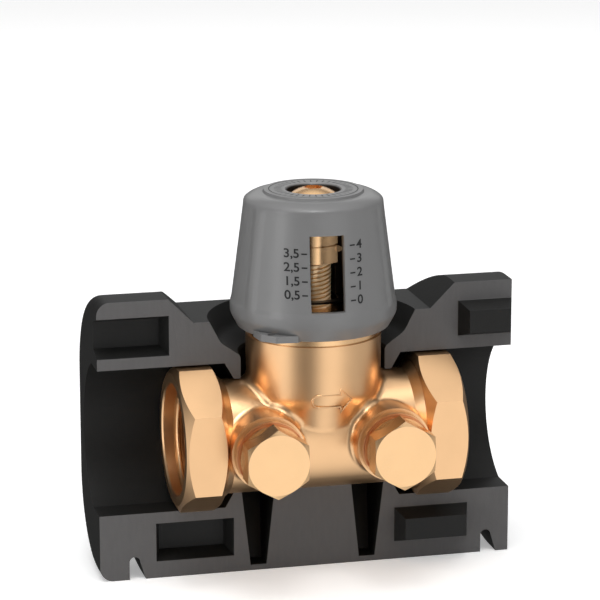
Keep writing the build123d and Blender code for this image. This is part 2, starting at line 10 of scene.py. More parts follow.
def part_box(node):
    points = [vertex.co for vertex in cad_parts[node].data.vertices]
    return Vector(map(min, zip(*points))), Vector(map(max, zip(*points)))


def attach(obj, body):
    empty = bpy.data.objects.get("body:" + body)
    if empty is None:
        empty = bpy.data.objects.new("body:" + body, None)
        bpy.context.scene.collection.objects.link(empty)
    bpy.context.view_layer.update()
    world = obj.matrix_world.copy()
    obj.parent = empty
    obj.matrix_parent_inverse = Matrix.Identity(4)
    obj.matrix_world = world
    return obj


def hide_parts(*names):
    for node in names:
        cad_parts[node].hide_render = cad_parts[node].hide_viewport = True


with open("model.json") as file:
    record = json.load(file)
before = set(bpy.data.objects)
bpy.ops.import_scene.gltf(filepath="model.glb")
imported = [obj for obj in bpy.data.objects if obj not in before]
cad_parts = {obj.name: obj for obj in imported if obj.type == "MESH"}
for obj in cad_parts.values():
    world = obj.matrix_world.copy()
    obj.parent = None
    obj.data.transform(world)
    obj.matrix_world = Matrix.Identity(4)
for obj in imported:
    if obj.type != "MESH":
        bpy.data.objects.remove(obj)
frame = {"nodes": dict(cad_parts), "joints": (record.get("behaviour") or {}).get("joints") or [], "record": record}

bl_info = {
    "name": "Regulating shutoff valve",
    "version": (1, 0, 0),
    "blender": (4, 5, 0),
    "location": "3D View > Sidebar > Valve",
    "description": "Threads, print and finishes for a brass regulating valve in its insulation shell",
    "category": "Add Mesh",
}

MM = 0.001
JOINTS = {joint["name"]: joint for joint in frame["joints"]}
STEM_X = JOINTS["knob_turn"]["pos_m"][0]
MOUNTS = {mount["name"]: mount for mount in frame["record"]["mounts"]}
FLOOR_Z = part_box("insulation_shell")[0].z
STEM_LOW, STEM_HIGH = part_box("stem")
RING_UNDER_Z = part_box("indicator_ring")[0].z
KNOB_LOW, KNOB_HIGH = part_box("knob")
# The knob's wall is a cone from the top of its skirt to its shoulder
SKIRT_Z, SKIRT_R = KNOB_LOW.z + 8.3 * MM, 24.0 * MM
SHOULDER_Z, SHOULDER_R = KNOB_HIGH.z - 1.1 * MM, 20.0 * MM
# How far a piece reaches into the one it sits on, so that the two meet without a slit
SEATING = 0.05 * MM


def hex_to_linear(code):
    """A colour written as #rrggbb in sRGB, as the linear values that a shader takes."""
    channels = [int(code[i : i + 2], 16) / 255 for i in (1, 3, 5)]
    return [c / 12.92 if c <= 0.04045 else ((c + 0.055) / 1.055) ** 2.4 for c in channels]


def length(name, description, millimetres):
    return bpy.props.FloatProperty(
        name=name, description=description, default=millimetres * MM, unit="LENGTH", precision=5
    )


def colour(name, description, code):
    return bpy.props.FloatVectorProperty(
        name=name, description=description, default=hex_to_linear(code), subtype="COLOR", size=3,
        min=0, max=1,
    )


class PipeThreadSizes(bpy.types.PropertyGroup):
    """G 1 pipe thread cut in both mouths."""

    major_radius: length("Major radius", "Radius at the root of the female thread", 16.62)
    minor_radius: length("Minor radius", "Radius at the crest of the female thread", 15.3)
    pitch: length("Pitch", "Distance from one turn to the next", 2.309)
    first_turn: length("First turn", "How far in from the mouth the thread starts", 1.9)
    turns: bpy.props.FloatProperty(name="Turns", description="Number of thread turns", default=3.9)


class StemThreadSizes(bpy.types.PropertyGroup):
    """Three-start thread that lifts the stem."""

    radius: length("Major radius", "Radius over the thread crests", 5.2)
    core_radius: length("Core radius", "Radius at the thread roots", 4.5)
    lead: length("Lead", "Rise of the stem in one turn of the knob", 3.8)
    thread_length: length("Thread length", "Threaded length under the indicator ring", 22.25)
    foot_height: length("Foot height", "Height of the foot held in the plunger", 3.2)
    neck_radius: length("Neck radius", "Radius between the foot and the thread", 4.8)
    spigot_radius: length("Spigot radius", "Radius inside the ring and the driving head", 3.5)
    starts: bpy.props.IntProperty(name="Starts", description="Number of thread starts", default=3)


class DialSizes(bpy.types.PropertyGroup):
    """Print on the knob: the scale of turns beside the window and the ring on the crown."""

    zero_height: length("Zero height", "Height of the 0 mark above the pipe axis", 44.8)
    turn_height: length("Turn height", "Height between two whole turns on the scale", 3.96)
    digit_height: length("Digit height", "Height of the digits", 2.5)
    tick_length: length("Tick length", "Length of a scale tick", 1.6)
    tick_width: length("Tick width", "Thickness of a scale tick", 0.42)
    window_half: length("Window half width", "Half the width of the window", 4.85)
    left_gap: length("Left gap", "From the window to the ticks of the half turns", 1.0)
    right_gap: length("Right gap", "From the window to the ticks of the whole turns", 1.85)
    digit_gap: length("Digit gap", "From a tick to its digits", 0.5)
    knob_angle: bpy.props.FloatProperty(
        name="Knob angle", description="How far the knob is turned from facing straight ahead",
        default=math.radians(-3.4), subtype="ANGLE",
    )
    ring_radius: length("Ring radius", "Radius of the printed ring on the crown", 13.2)
    ring_width: length("Ring width", "Line width of the printed ring", 0.3)
    crown_tick_start: length("Crown tick start", "Radius where the crown's ticks start", 9.4)
    crown_tick_end: length("Crown tick end", "Radius where the crown's ticks end", 11.6)
    crown_ticks: bpy.props.IntProperty(
        name="Crown ticks", description="Number of ticks round the crown", default=36
    )
    film: length("Film", "How far the print stands off the plastic", 0.06)


class GripSizes(bpy.types.PropertyGroup):
    """Three shallow grip panels round the knob, with narrow ridges between them."""

    depth: length("Depth", "Depth of a panel", 0.42)
    swell: length("Swell", "How far the photographed wall stands outside the packed knob", 0.6)
    ridge_half: length("Ridge half width", "Half width of a ridge's top", 0.5)
    flank: length("Flank", "Width of the slope from a ridge down to a panel", 2.6)
    rise: length("Rise", "Height of a panel's lower end above the skirt", -1.6)
    drop: length("Drop", "Distance of a panel's upper end below the shoulder", 1.2)
    runout: length("Runout", "Height over which a panel runs out", 2.2)
    step: length("Step", "Height of the faces that follow the panels", 1.0)


class ArrowSizes(bpy.types.PropertyGroup):
    """Raised outline of the flow arrow on the neck."""

    neck_radius: length("Neck radius", "Radius of the neck that carries the arrow", 20.0)
    arrow_length: length("Length", "Length of the arrow", 12.0)
    head_height: length("Head height", "Height of the arrow head", 7.0)
    shaft_height: length("Shaft height", "Height of the arrow shaft", 3.6)
    centre_x: length("Centre X", "Middle of the arrow from the stem axis", 0.8)
    centre_z: length("Centre Z", "Middle of the arrow above the pipe axis", 14.2)
    bead: length("Bead", "Half width of the raised line", 0.35)


class FinishColours(bpy.types.PropertyGroup):
    """Base colours of the finishes, and the painted shade inside the knob."""

    forged_brass: colour("Forged brass", "Sand-blasted forging", "#ecc091")
    turned_brass: colour("Turned brass", "Machined brass", "#f0c594")
    knob_grey: colour("Knob grey", "Moulded ABS", "#797979")
    # Painted shade, not the plastic's own colour: a near-black that stands in for the shade inside the knob and
    # its crown hole
    knob_inside: colour("Knob inside", "Inside of the knob", "#1a1817")
    foam_joint: colour("Foam joint face", "Flat joint face of the foam", "#636262")
    foam_skin: colour("Foam skin", "Moulded skin of the foam", "#171716")
    ink: colour("Ink", "Pad print on the knob", "#0f0f10")
    rubber: colour("Rubber", "EPDM seals", "#191919")
    copper: colour("Copper", "Plug washers", "#d9966a")
    steel: colour("Steel", "Snap rings", "#8f8f8f")
    floor: colour("Floor", "Studio floor", "#fafafa")


def add_node(tree, kind, settings=None, **links):
    """Adds a node, sets its properties and sockets, and links the named or numbered sockets to outputs."""
    node = tree.nodes.new(kind)
    for key, value in (settings or {}).items():
        if hasattr(node, key):
            setattr(node, key, value)
        else:
            node.inputs[key].default_value = value
    for key, source in links.items():
        index = int(key[1:]) if key[0] == "i" and key[1:].isdigit() else key.replace("_", " ")
        tree.links.new(source, node.inputs[index])
    return node


def new_material(name):
    """An empty node material with its output node and a shader on it."""
    material = bpy.data.materials.new(name)
    material.use_nodes = True
    tree = material.node_tree
    tree.nodes.clear()
    shader = add_node(tree, "ShaderNodeBsdfPrincipled")
    add_node(tree, "ShaderNodeOutputMaterial", Surface=shader.outputs["BSDF"])
    return material, tree, shader


def rgba(values):
    return (*values, 1.0)


def grain(tree, size_mm, detail=2.0, stretch=(1, 1, 1)):
    """Noise on object coordinates whose features are about size_mm across."""
    place = add_node(tree, "ShaderNodeTexCoord")
    mapping = add_node(tree, "ShaderNodeMapping", {"Scale": stretch}, Vector=place.outputs["Object"])
    return add_node(
        tree, "ShaderNodeTexNoise", {"Scale": 1 / (size_mm * MM), "Detail": detail},
        Vector=mapping.outputs["Vector"],
    )


def brass_finish(name, base, grain_mm, grain_depth_mm, rough_low, rough_high):
    """Brass with a fine grain: the colour and gloss wander a little, as on a cleaned casting."""
    material, tree, shader = new_material(name)
    patches = grain(tree, 9.0, 3.0)
    tint = add_node(
        tree, "ShaderNodeMixRGB",
        {"Color1": rgba([c * 0.93 for c in base]), "Color2": rgba([min(c * 1.04, 1) for c in base])},
        Fac=patches.outputs["Fac"],
    )
    fine = grain(tree, grain_mm, 3.0)
    gloss = add_node(
        tree, "ShaderNodeMapRange", {"To Min": rough_low, "To Max": rough_high}, Value=fine.outputs["Fac"]
    )
    bump = add_node(
        tree, "ShaderNodeBump", {"Distance": grain_depth_mm * MM, "Strength": 0.6},
        Height=fine.outputs["Fac"],
    )
    shader.inputs["Metallic"].default_value = 1.0
    tree.links.new(tint.outputs["Color"], shader.inputs["Base Color"])
    tree.links.new(gloss.outputs["Result"], shader.inputs["Roughness"])
    tree.links.new(bump.outputs["Normal"], shader.inputs["Normal"])
    return material


def forged_brass(colours):
    # Hot forged and sand-blasted: a satin surface of 0.25 mm grit dimples, with soft broad highlights.
    return brass_finish("sand_blasted_forged_brass", colours.forged_brass, 0.25, 0.02, 0.27, 0.36)


def turned_brass(colours):
    # Turned and tumbled: finer and glossier than the forging.
    return brass_finish("turned_brass", colours.turned_brass, 0.12, 0.004, 0.22, 0.30)


def moulded_abs(colours):
    # Injection-moulded ABS from a spark-eroded tool: an even satin with 0.35 mm texture. Inside the knob
    # and in its crown hole the grey gives way to painted shade, a near-black that stands in for the shade
    # there: from 1.4 mm inside the wall, between the web and the roof, and at the crown hole's edge.
    black_depth, blend, hole_r = 1.4 * MM, 0.3 * MM, 8.0 * MM
    web_z, roof_z = KNOB_LOW.z + 3.5 * MM, KNOB_HIGH.z - 4.0 * MM
    material, tree, shader = new_material("moulded_grey_abs")
    place = add_node(tree, "ShaderNodeTexCoord")
    about_stem = add_node(
        tree, "ShaderNodeMapping", {"Location": (-STEM_X, 0, 0)}, Vector=place.outputs["Object"]
    )
    axes = add_node(tree, "ShaderNodeSeparateXYZ", Vector=about_stem.outputs["Vector"])
    across = add_node(tree, "ShaderNodeCombineXYZ", X=axes.outputs["X"], Y=axes.outputs["Y"])
    radius = add_node(
        tree, "ShaderNodeVectorMath", {"operation": "LENGTH"}, Vector=across.outputs["Vector"]
    )
    wall = add_node(
        tree, "ShaderNodeMapRange",
        {
            "clamp": False, "From Min": SKIRT_Z, "From Max": SHOULDER_Z,
            "To Min": SKIRT_R - black_depth, "To Max": SHOULDER_R - black_depth,
        },
        Value=axes.outputs["Z"],
    )
    depth = add_node(
        tree, "ShaderNodeMath", {"operation": "SUBTRACT"}, i0=wall.outputs["Result"],
        i1=radius.outputs["Value"],
    )
    inside = add_node(tree, "ShaderNodeMapRange", {"From Max": blend}, Value=depth.outputs["Value"])
    above_web = add_node(
        tree, "ShaderNodeMapRange", {"From Min": web_z, "From Max": web_z + 0.2 * MM},
        Value=axes.outputs["Z"],
    )
    below_roof = add_node(
        tree, "ShaderNodeMapRange",
        {"From Min": roof_z, "From Max": roof_z + blend, "To Min": 1.0, "To Max": 0.0},
        Value=axes.outputs["Z"],
    )
    room = add_node(
        tree, "ShaderNodeMath", {"operation": "MULTIPLY"}, i0=inside.outputs["Result"],
        i1=above_web.outputs["Result"],
    )
    room = add_node(
        tree, "ShaderNodeMath", {"operation": "MULTIPLY"}, i0=room.outputs["Value"],
        i1=below_roof.outputs["Result"],
    )
    hole_side = add_node(
        tree, "ShaderNodeMapRange",
        {"From Min": hole_r, "From Max": hole_r + 0.15 * MM, "To Min": 1.0, "To Max": 0.0},
        Value=radius.outputs["Value"],
    )
    # Painted shade mask: 1 on the knob's inner walls and in its crown hole, where the colour stands in for shade
    painted_shade_mask = add_node(
        tree, "ShaderNodeMath", {"operation": "MAXIMUM"}, i0=room.outputs["Value"],
        i1=hole_side.outputs["Result"],
    )
    texture = grain(tree, 0.35, 2.0)
    flow = grain(tree, 14.0, 2.0)
    tint = add_node(
        tree, "ShaderNodeMixRGB",
        {
            "Color1": rgba([c * 0.97 for c in colours.knob_grey]),
            "Color2": rgba([c * 1.03 for c in colours.knob_grey]),
        },
        Fac=flow.outputs["Fac"],
    )
    # Painted shade: the near-black replaces the grey wherever the mask is 1
    shade = add_node(
        tree, "ShaderNodeMixRGB", {"Color2": rgba(colours.knob_inside)}, Fac=painted_shade_mask.outputs["Value"],
        Color1=tint.outputs["Color"],
    )
    bump = add_node(
        tree, "ShaderNodeBump", {"Distance": 0.012 * MM, "Strength": 0.5}, Height=texture.outputs["Fac"]
    )
    shader.inputs["Roughness"].default_value = 0.3
    tree.links.new(shade.outputs["Color"], shader.inputs["Base Color"])
    tree.links.new(bump.outputs["Normal"], shader.inputs["Normal"])
    return material


def moulded_foam(colours):
    # Closed-cell foam: the flat joint face is a matt mid grey, and the moulded skin is darker and a
    # little glossy. The beads show as faint 2.2 mm cells. The joint face lies at Y = 0.
    material, tree, shader = new_material("moulded_closed_cell_foam")
    place = add_node(tree, "ShaderNodeTexCoord")
    axes = add_node(tree, "ShaderNodeSeparateXYZ", Vector=place.outputs["Object"])
    depth = add_node(tree, "ShaderNodeMath", {"operation": "ABSOLUTE"}, i0=axes.outputs["Y"])
    on_joint = add_node(
        tree, "ShaderNodeMapRange",
        {"From Min": 0.10 * MM, "From Max": 0.35 * MM, "To Min": 1.0, "To Max": 0.0},
        Value=depth.outputs["Value"],
    )
    beads = add_node(
        tree, "ShaderNodeTexVoronoi", {"feature": "DISTANCE_TO_EDGE", "Scale": 1 / (2.2 * MM)},
        Vector=place.outputs["Object"],
    )
    streaks = grain(tree, 1.4, 3.0, (1.0, 1.0, 0.25))
    skin = add_node(
        tree, "ShaderNodeMixRGB",
        {
            "Color1": rgba([c * 0.88 for c in colours.foam_skin]),
            "Color2": rgba([c * 1.10 for c in colours.foam_skin]),
        },
        Fac=streaks.outputs["Fac"],
    )
    joint = add_node(
        tree, "ShaderNodeMixRGB",
        {
            "Color1": rgba([c * 0.90 for c in colours.foam_joint]),
            "Color2": rgba([c * 1.08 for c in colours.foam_joint]),
        },
        Fac=streaks.outputs["Fac"],
    )
    base = add_node(
        tree, "ShaderNodeMixRGB", Fac=on_joint.outputs["Result"], Color1=skin.outputs["Color"],
        Color2=joint.outputs["Color"],
    )
    gloss = add_node(
        tree, "ShaderNodeMapRange", {"To Min": 0.55, "To Max": 0.85}, Value=on_joint.outputs["Result"]
    )
    cells = add_node(
        tree, "ShaderNodeMapRange", {"From Max": 0.12, "To Max": 1.0}, Value=beads.outputs["Distance"]
    )
    bump = add_node(
        tree, "ShaderNodeBump", {"Distance": 0.03 * MM, "Strength": 0.35}, Height=cells.outputs["Result"]
    )
    shader.inputs["Specular IOR Level"].default_value = 0.3
    tree.links.new(base.outputs["Color"], shader.inputs["Base Color"])
    tree.links.new(gloss.outputs["Result"], shader.inputs["Roughness"])
    tree.links.new(bump.outputs["Normal"], shader.inputs["Normal"])
    return material


def plain_finish(name, base, roughness, metallic=0.0, grain_mm=0.4):
    """A small part's finish: one base colour that wanders slightly, with a fine grain."""
    material, tree, shader = new_material(name)
    fine = grain(tree, grain_mm, 2.0)
    tint = add_node(
        tree, "ShaderNodeMixRGB",
        {"Color1": rgba([c * 0.9 for c in base]), "Color2": rgba([min(c * 1.1, 1) for c in base])},
        Fac=fine.outputs["Fac"],
    )
    bump = add_node(
        tree, "ShaderNodeBump", {"Distance": 0.01 * MM, "Strength": 0.4}, Height=fine.outputs["Fac"]
    )
    shader.inputs["Metallic"].default_value = metallic
    shader.inputs["Roughness"].default_value = roughness
    tree.links.new(tint.outputs["Color"], shader.inputs["Base Color"])
    tree.links.new(bump.outputs["Normal"], shader.inputs["Normal"])
    return material


def dress(names, material):
    """Gives CAD nodes a finish."""
    for name in names:
        node = frame["nodes"][name]
        node.data.materials.clear()
        node.data.materials.append(material)


def make_object(bm, name, material):
    """Makes an object from a bmesh in the shared frame and frees the bmesh."""
    mesh = bpy.data.meshes.new(name)
    bm.to_mesh(mesh)
    bm.free()
    mesh.materials.append(material)
    made = bpy.data.objects.new(name, mesh)
    bpy.context.scene.collection.objects.link(made)
    return made


def finish_piece(bm, name, material, body, smooth=True):
    """Makes a piece from a bmesh and lets it ride on its body."""
    for face in bm.faces:
        face.smooth = smooth
    piece = make_object(bm, name, material)
    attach(piece, body)
    return piece


def join(target, part):
    """Adds one bmesh to another and frees it."""
    held = bpy.data.meshes.new("held")
    part.to_mesh(held)
    part.free()
    target.from_mesh(held)
    bpy.data.meshes.remove(held)


def curve_to_bmesh(curve):
    """The mesh that a text or curve makes, as a bmesh. The curve is removed."""
    holder = bpy.data.objects.new(curve.name, curve)
    bpy.context.scene.collection.objects.link(holder)
    bpy.context.view_layer.update()
    graph = bpy.context.evaluated_depsgraph_get()
    mesh = bpy.data.meshes.new_from_object(holder.evaluated_get(graph))
    bm = bmesh.new()
    bm.from_mesh(mesh)
    bpy.data.objects.remove(holder)
    bpy.data.meshes.remove(mesh)
    bpy.data.curves.remove(curve)
    return bm


def helix_ridge(bm, profile, axis, turns, rise, steps_per_turn=48):
    """Spins a closed thread profile along a helix, from its first face to its last."""
    start_face = bm.faces.new([bm.verts.new(point) for point in profile])
    bmesh.ops.spin(
        bm, geom=[start_face], cent=(0, 0, 0), axis=axis, dvec=Vector(axis) * rise / steps_per_turn,
        angle=math.tau * turns, steps=int(turns * steps_per_turn), use_merge=False, use_duplicate=False,
    )
    bmesh.ops.recalc_face_normals(bm, faces=bm.faces)


class VALVE_OT_finishes(bpy.types.Operator):
    """Gives every solid of the valve the finish of the real piece, with painted shade inside the knob"""

    bl_idname = "valve.finishes"
    bl_label = "Finishes"

    def execute(self, context):
        colours = context.scene.valve_colours
        dress(["valve_body"], forged_brass(colours))
        dress(
            [
                "headwork", "inlet_plug", "outlet_plug", "plunger", "disc_washer", "disc_screw",
                "stem", "indicator_ring", "drive_head", "memory_bush", "memory_screw",
            ],
            turned_brass(colours),
        )
        dress(["knob"], moulded_abs(colours))
        dress(["insulation_shell"], moulded_foam(colours))
        dress(
            ["headwork_o_ring", "plunger_o_ring_lower", "plunger_o_ring_upper", "seat_disc"],
            plain_finish("epdm_rubber", colours.rubber, 0.7),
        )
        dress(
            ["inlet_plug_seal", "outlet_plug_seal"],
            plain_finish("annealed_copper", colours.copper, 0.35, 1.0),
        )
        dress(
            ["knob_snap_ring", "stem_circlip"],
            plain_finish("phosphated_spring_steel", colours.steel, 0.45, 1.0),
        )
        return {"FINISHED"}


class VALVE_OT_pipe_threads(bpy.types.Operator):
    """Cuts the female pipe thread of both mouths"""

    bl_idname = "valve.pipe_threads"
    bl_label = "Pipe threads"

    def execute(self, context):
        sizes = context.scene.valve_pipe_thread
        material = bpy.data.materials["sand_blasted_forged_brass"]
        root, crest = sizes.major_radius + SEATING, sizes.minor_radius
        half_root, half_crest = sizes.pitch * 0.46, sizes.pitch * 0.08
        half_turn = Matrix.Rotation(math.pi, 3, "Z")
        for name in ("inlet", "outlet"):
            mouth_x = MOUNTS[name]["pos_m"][0]
            inward = -MOUNTS[name]["axis"][0]
            profile = [
                (-half_root, 0, root), (-half_crest, 0, crest),
                (half_crest, 0, crest), (half_root, 0, root),
            ]
            bm = bmesh.new()
            helix_ridge(bm, profile, (1, 0, 0), sizes.turns, sizes.pitch)
            if inward < 0:
                bmesh.ops.rotate(bm, verts=bm.verts, cent=(0, 0, 0), matrix=half_turn)
            start = mouth_x + inward * (sizes.first_turn + half_root)
            bmesh.ops.translate(bm, verts=bm.verts, vec=(start, 0, 0))
            finish_piece(bm, f"{name}_thread", material, "valve")
        return {"FINISHED"}


class VALVE_OT_stem_thread(bpy.types.Operator):
    """Turns the stem with its three-start thread"""

    bl_idname = "valve.stem_thread"
    bl_label = "Stem"

    def execute(self, context):
        sizes = context.scene.valve_stem_thread
        foot_r = (STEM_HIGH.x - STEM_LOW.x) / 2
        foot_top = STEM_LOW.z + sizes.foot_height
        thread_low, thread_high = RING_UNDER_Z - sizes.thread_length, RING_UNDER_Z
        neck_r, spigot_r = sizes.neck_radius, sizes.spigot_radius
        outline = [
            (0, STEM_LOW.z), (foot_r, STEM_LOW.z), (foot_r, foot_top), (neck_r, foot_top),
            (neck_r, thread_low), (sizes.core_radius, thread_low), (sizes.core_radius, thread_high),
            (spigot_r, thread_high), (spigot_r, STEM_HIGH.z), (0, STEM_HIGH.z),
        ]
        bm = bmesh.new()
        points = [bm.verts.new((r, 0, z)) for r, z in outline]
        edges = [bm.edges.new(pair) for pair in zip(points, points[1:])]
        bmesh.ops.spin(
            bm, geom=points + edges, cent=(0, 0, 0), axis=(0, 0, 1), angle=math.tau, steps=48,
            use_merge=True,
        )
        bmesh.ops.remove_doubles(bm, verts=bm.verts, dist=0.001 * MM)
        bmesh.ops.recalc_face_normals(bm, faces=bm.faces)
        spacing = sizes.lead / sizes.starts
        half_root, half_crest = spacing * 0.40, spacing * 0.20
        turns = (thread_high - thread_low - 2 * half_root) / sizes.lead
        root = sizes.core_radius - SEATING
        for start in range(sizes.starts):
            ridge = bmesh.new()
            profile = [
                (root, 0, -half_root), (sizes.radius, 0, -half_crest),
                (sizes.radius, 0, half_crest), (root, 0, half_root),
            ]
            helix_ridge(ridge, profile, (0, 0, 1), turns, sizes.lead)
            turn = Matrix.Rotation(math.tau * start / sizes.starts, 3, "Z")
            bmesh.ops.rotate(ridge, verts=ridge.verts, cent=(0, 0, 0), matrix=turn)
            bmesh.ops.translate(ridge, verts=ridge.verts, vec=(0, 0, thread_low + half_root))
            join(bm, ridge)
        bmesh.ops.translate(bm, verts=bm.verts, vec=(STEM_X, 0, 0))
        material = bpy.data.materials["turned_brass"]
        piece = finish_piece(bm, "threaded_stem", material, "stem", smooth=False)
        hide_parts("stem")
        return {"FINISHED"}


class VALVE_OT_knob_grip(bpy.types.Operator):
    """Moulds the three grip panels of the knob from its skirt to its shoulder"""

    bl_idname = "valve.knob_grip"
    bl_label = "Knob grip"

    def execute(self, context):
        sizes = context.scene.valve_grip
        facing = context.scene.valve_dial.knob_angle
        # The wall is moved between these two heights, and the swell fades out toward both
        low, high = KNOB_LOW.z + 2.6 * MM, KNOB_HIGH.z - 0.9 * MM
        fade_low, fade_high = 2.5 * MM, 2.0 * MM
        wall_depth, sharp_edge = 1.35 * MM, math.radians(32)
        bm = bmesh.new()
        bm.from_mesh(frame["nodes"]["knob"].data)
        bmesh.ops.remove_doubles(bm, verts=bm.verts, dist=0.002 * MM)
        bm.normal_update()
        full_radius = self.full_radii(bm, facing, low, high)

        def on_wall(point):
            radius = math.hypot(point.x - STEM_X, point.y)
            return low < point.z < high and radius > full_radius(point.z) - wall_depth

        def faces_out(face):
            middle = face.calc_center_median()
            across = Vector((middle.x - STEM_X, middle.y, 0))
            return on_wall(middle) and face.normal.dot(across.normalized()) > 0.3

        def ease(value):
            value = min(max(value, 0), 1)
            return value * value * (3 - 2 * value)

        def moulded_radius(degrees, z):
            full = full_radius(z)
            from_ridge = full * math.radians(abs(degrees % 120 - 60))
            across = ease((from_ridge - sizes.ridge_half) / sizes.flank)
            above_low = ease((z - SKIRT_Z - sizes.rise) / sizes.runout)
            below_high = ease((SHOULDER_Z - sizes.drop - z) / sizes.runout)
            swell = sizes.swell * ease((z - low) / fade_low) * ease((high - z) / fade_high)
            return full + swell - sizes.depth * across * above_low * below_high

        faces = [face for face in bm.faces if faces_out(face)]
        edges = {edge for face in faces for edge in face.edges}
        wall = [*faces, *edges, *{vert for face in faces for vert in face.verts}]
        for place, normal in self.cuts(facing, low, high, sizes.step):
            wall = bmesh.ops.bisect_plane(
                bm, geom=wall, dist=0.001 * MM, plane_co=place, plane_no=normal
            )["geom"]
        for vert in wall:
            if isinstance(vert, bmesh.types.BMVert) and on_wall(vert.co):
                x, y = vert.co.x - STEM_X, vert.co.y
                degrees = math.degrees(math.atan2(x, -y) - facing)
                scale = moulded_radius(degrees, vert.co.z) / math.hypot(x, y)
                vert.co.x, vert.co.y = STEM_X + x * scale, y * scale
        for edge in bm.edges:
            edge.smooth = len(edge.link_faces) == 2 and edge.calc_face_angle() < sharp_edge
        material = bpy.data.materials["moulded_grey_abs"]
        knob = finish_piece(bm, "moulded_knob", material, "knob")
        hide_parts("knob")
        return {"FINISHED"}

    def full_radii(self, bm, facing, low, high):
        """The knob's radius by height, read from outside at the turns where it has no panels."""
        tree = BVHTree.FromBMesh(bm)
        uncut = (48, 54, 60, 66, 72, 168, 174, 180, 186, 192)
        outside, count = 50 * MM, 120

        def radius_at(z):
            found = []
            for degrees in uncut:
                angle = facing + math.radians(degrees)
                outward = Vector((math.sin(angle), -math.cos(angle), 0))
                start = Vector((STEM_X, 0, 0)) + outward * outside
                start.z = z
                found.append(outside - tree.ray_cast(start, -outward)[3])
            return max(found)

        radii = [radius_at(low + (high - low) * i / count) for i in range(count + 1)]

        def full_radius(z):
            place = min(max((z - low) / (high - low) * count, 0), count - 0.001)
            step = int(place)
            return radii[step] + (radii[step + 1] - radii[step]) * (place - step)

        return full_radius

    def cuts(self, facing, low, high, step):
        """Planes that divide the wall every 4 degrees, and every 1.25 degrees beside the ridges."""
        turns = [4 * (i + 0.5) for i in range(45)]
        turns += [ridge + 1.25 * i for ridge in (60, 180, 300) for i in range(-7, 8)]
        planes = []
        for degrees in turns:
            angle = facing + math.radians(degrees)
            planes.append((Vector((STEM_X, 0, 0)), Vector((math.cos(angle), math.sin(angle), 0))))
        levels = int((high - low) / step)
        for i in range(1, levels):
            planes.append((Vector((0, 0, low + (high - low) * i / levels)), Vector((0, 0, 1))))
        return planes


def surface_tree(piece):
    """A search tree over one piece's faces, for laying print on it."""
    bm = bmesh.new()
    bm.from_mesh(piece.data)
    tree = BVHTree.FromBMesh(bm)
    bm.free()
    return tree


def stand_up(bm):
    """Turns flat print up from the XY plane to the XZ plane."""
    upright = Matrix.Rotation(math.radians(90), 3, "X")
    bmesh.ops.rotate(bm, verts=bm.verts, cent=(0, 0, 0), matrix=upright)


def text_mesh(words, size, align):
    """Flat digits in the XY plane, with their middle height at zero."""
    curve = bpy.data.curves.new("digits", "FONT")
    curve.body = words
    curve.size = size
    # The print is a little bolder than the font
    curve.offset = 0.018 * size
    curve.align_x = align
    curve.align_y = "CENTER"
    return curve_to_bmesh(curve)


def bar_mesh(width, height, segments):
    """A flat bar in the XY plane, divided along its width so that it can follow a curve."""
    bm = bmesh.new()
    bmesh.ops.create_grid(bm, x_segments=segments, y_segments=1, size=0.5)
    bmesh.ops.scale(bm, verts=bm.verts, vec=(width, height, 1))
    return bm


def lay_on_front(bm, tree, film, turn):
    """Turns flat print with the knob and moves it back until it lies just off the surface."""
    ahead = 100 * MM
    inward = turn.to_3x3() @ Vector((0, 1, 0))
    for vert in bm.verts:
        start = turn @ Vector((vert.co.x, -ahead, vert.co.z))
        hit = tree.ray_cast(start, inward)[0]
        if hit is None:
            raise RuntimeError("print misses the knob")
        vert.co = hit - inward * film


class VALVE_OT_scale(bpy.types.Operator):
    """Prints the scale of turns on both sides of the window"""

    bl_idname = "valve.scale"
    bl_label = "Scale of turns"

    def execute(self, context):
        sizes = context.scene.valve_dial
        colours = context.scene.valve_colours
        ink = plain_finish("pad_print_ink", colours.ink, 0.5)
        tree = surface_tree(bpy.data.objects["moulded_knob"])
        bm = bmesh.new()
        # The font's digits stand 0.7 of its size high
        size = sizes.digit_height / 0.7
        marks = [(turn, str(turn), 1) for turn in range(5)]
        marks += [(turn + 0.5, f"{turn},5", -1) for turn in range(4)]
        for turns, words, side in marks:
            z = sizes.zero_height + turns * sizes.turn_height
            inner = sizes.window_half + (sizes.right_gap if side > 0 else sizes.left_gap)
            tick = bar_mesh(sizes.tick_length, sizes.tick_width, 4)
            digits = text_mesh(words, size, "LEFT" if side > 0 else "RIGHT")
            tick_x = side * (inner + sizes.tick_length / 2)
            digits_x = side * (inner + sizes.tick_length + sizes.digit_gap)
            for patch, x in ((tick, tick_x), (digits, digits_x)):
                stand_up(patch)
                bmesh.ops.translate(patch, verts=patch.verts, vec=(x, 0, z))
                join(bm, patch)
        turn = Matrix.Translation((STEM_X, 0, 0)) @ Matrix.Rotation(sizes.knob_angle, 4, "Z")
        lay_on_front(bm, tree, sizes.film, turn)
        finish_piece(bm, "scale_print", ink, "knob", smooth=False)
        return {"FINISHED"}


